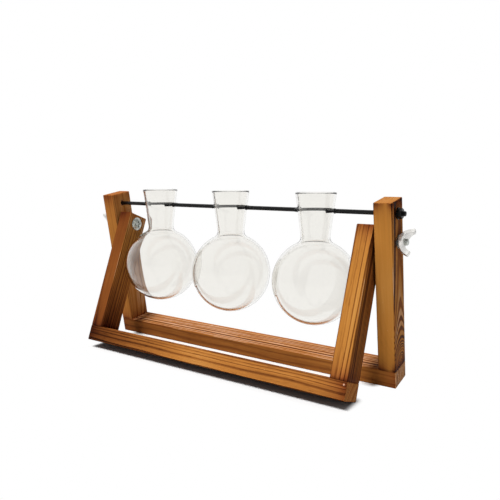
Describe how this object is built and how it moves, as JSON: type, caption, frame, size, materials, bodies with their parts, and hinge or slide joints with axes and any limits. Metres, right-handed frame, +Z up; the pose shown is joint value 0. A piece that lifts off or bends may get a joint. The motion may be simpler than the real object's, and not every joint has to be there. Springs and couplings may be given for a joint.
{
  "type": "propagation vase",
  "caption": "Round glass bulb vases hung in wire clips on a turning steel bar, carried by a folding charred pine stand with wing-nut pivots.",
  "frame": {"origin": "on the floor, under the middle of the whole object's box", "axes": "+X along the bar to the right as seen from the front, +Y to the back, +Z up"},
  "size_m": [0.3222, 0.087, 0.1521],
  "materials": {
    "pine": "charred, brushed and stained",
    "clear_glass": "blown, polished",
    "black_steel": "satin black paint",
    "zinc_steel": "bright zinc plate",
    "brad_steel": "plain drawn wire"
  },
  "bodies": {
    "rear_frame": {"rear_rail": "pine", "rear_left_upright": "pine", "rear_right_upright": "pine", "rear_frame_brads": "brad_steel", "left_pivot_bolt": "zinc_steel", "left_pivot_spacer": "zinc_steel", "left_nut_washer": "zinc_steel", "right_pivot_bolt": "zinc_steel", "right_pivot_spacer": "zinc_steel", "right_nut_washer": "zinc_steel"},
    "front_frame": {"front_rail": "pine", "front_left_upright": "pine", "front_right_upright": "pine", "front_frame_brads": "brad_steel"},
    "bar": {"left_bridge_bar": "black_steel", "right_bridge_bar": "black_steel", "left_end_bar": "black_steel", "left_bar_washer": "black_steel", "left_bar_nut": "black_steel", "right_end_bar": "black_steel", "right_bar_washer": "black_steel", "right_bar_nut": "black_steel", "left_neck_clip": "black_steel", "middle_neck_clip": "black_steel", "right_neck_clip": "black_steel"},
    "left_wing_nut": {"left_wing_nut": "zinc_steel"},
    "right_wing_nut": {"right_wing_nut": "zinc_steel"},
    "left_vase": {"left_vase": "clear_glass"},
    "middle_vase": {"middle_vase": "clear_glass"},
    "right_vase": {"right_vase": "clear_glass"}
  },
  "joints": [
    {"name": "front_frame_fold", "type": "hinge", "parent": "rear_frame", "child": "front_frame", "pos_m": [0, 0.01208, 0.11673], "axis": [-1, 0, 0], "range_deg": [-17.5, 105]},
    {"name": "bar_swivel", "type": "hinge", "parent": "rear_frame", "child": "bar", "pos_m": [0, 0.00866, 0.13776], "axis": [1, 0, 0], "continuous": true},
    {"name": "left_vase_lift", "type": "slide", "parent": "bar", "child": "left_vase", "axis": [0, 0, 1], "range_m": [0, 0.022]},
    {"name": "middle_vase_lift", "type": "slide", "parent": "bar", "child": "middle_vase", "axis": [0, 0, 1], "range_m": [0, 0.022]},
    {"name": "right_vase_lift", "type": "slide", "parent": "bar", "child": "right_vase", "axis": [0, 0, 1], "range_m": [0, 0.022]},
    {"name": "left_wing_nut_turn", "type": "hinge", "parent": "rear_frame", "child": "left_wing_nut", "pos_m": [-0.1511, 0.01208, 0.11673], "axis": [-1, 0, 0], "continuous": true},
    {"name": "right_wing_nut_turn", "type": "hinge", "parent": "rear_frame", "child": "right_wing_nut", "pos_m": [0.1511, 0.01208, 0.11673], "axis": [1, 0, 0], "continuous": true}
  ]
}
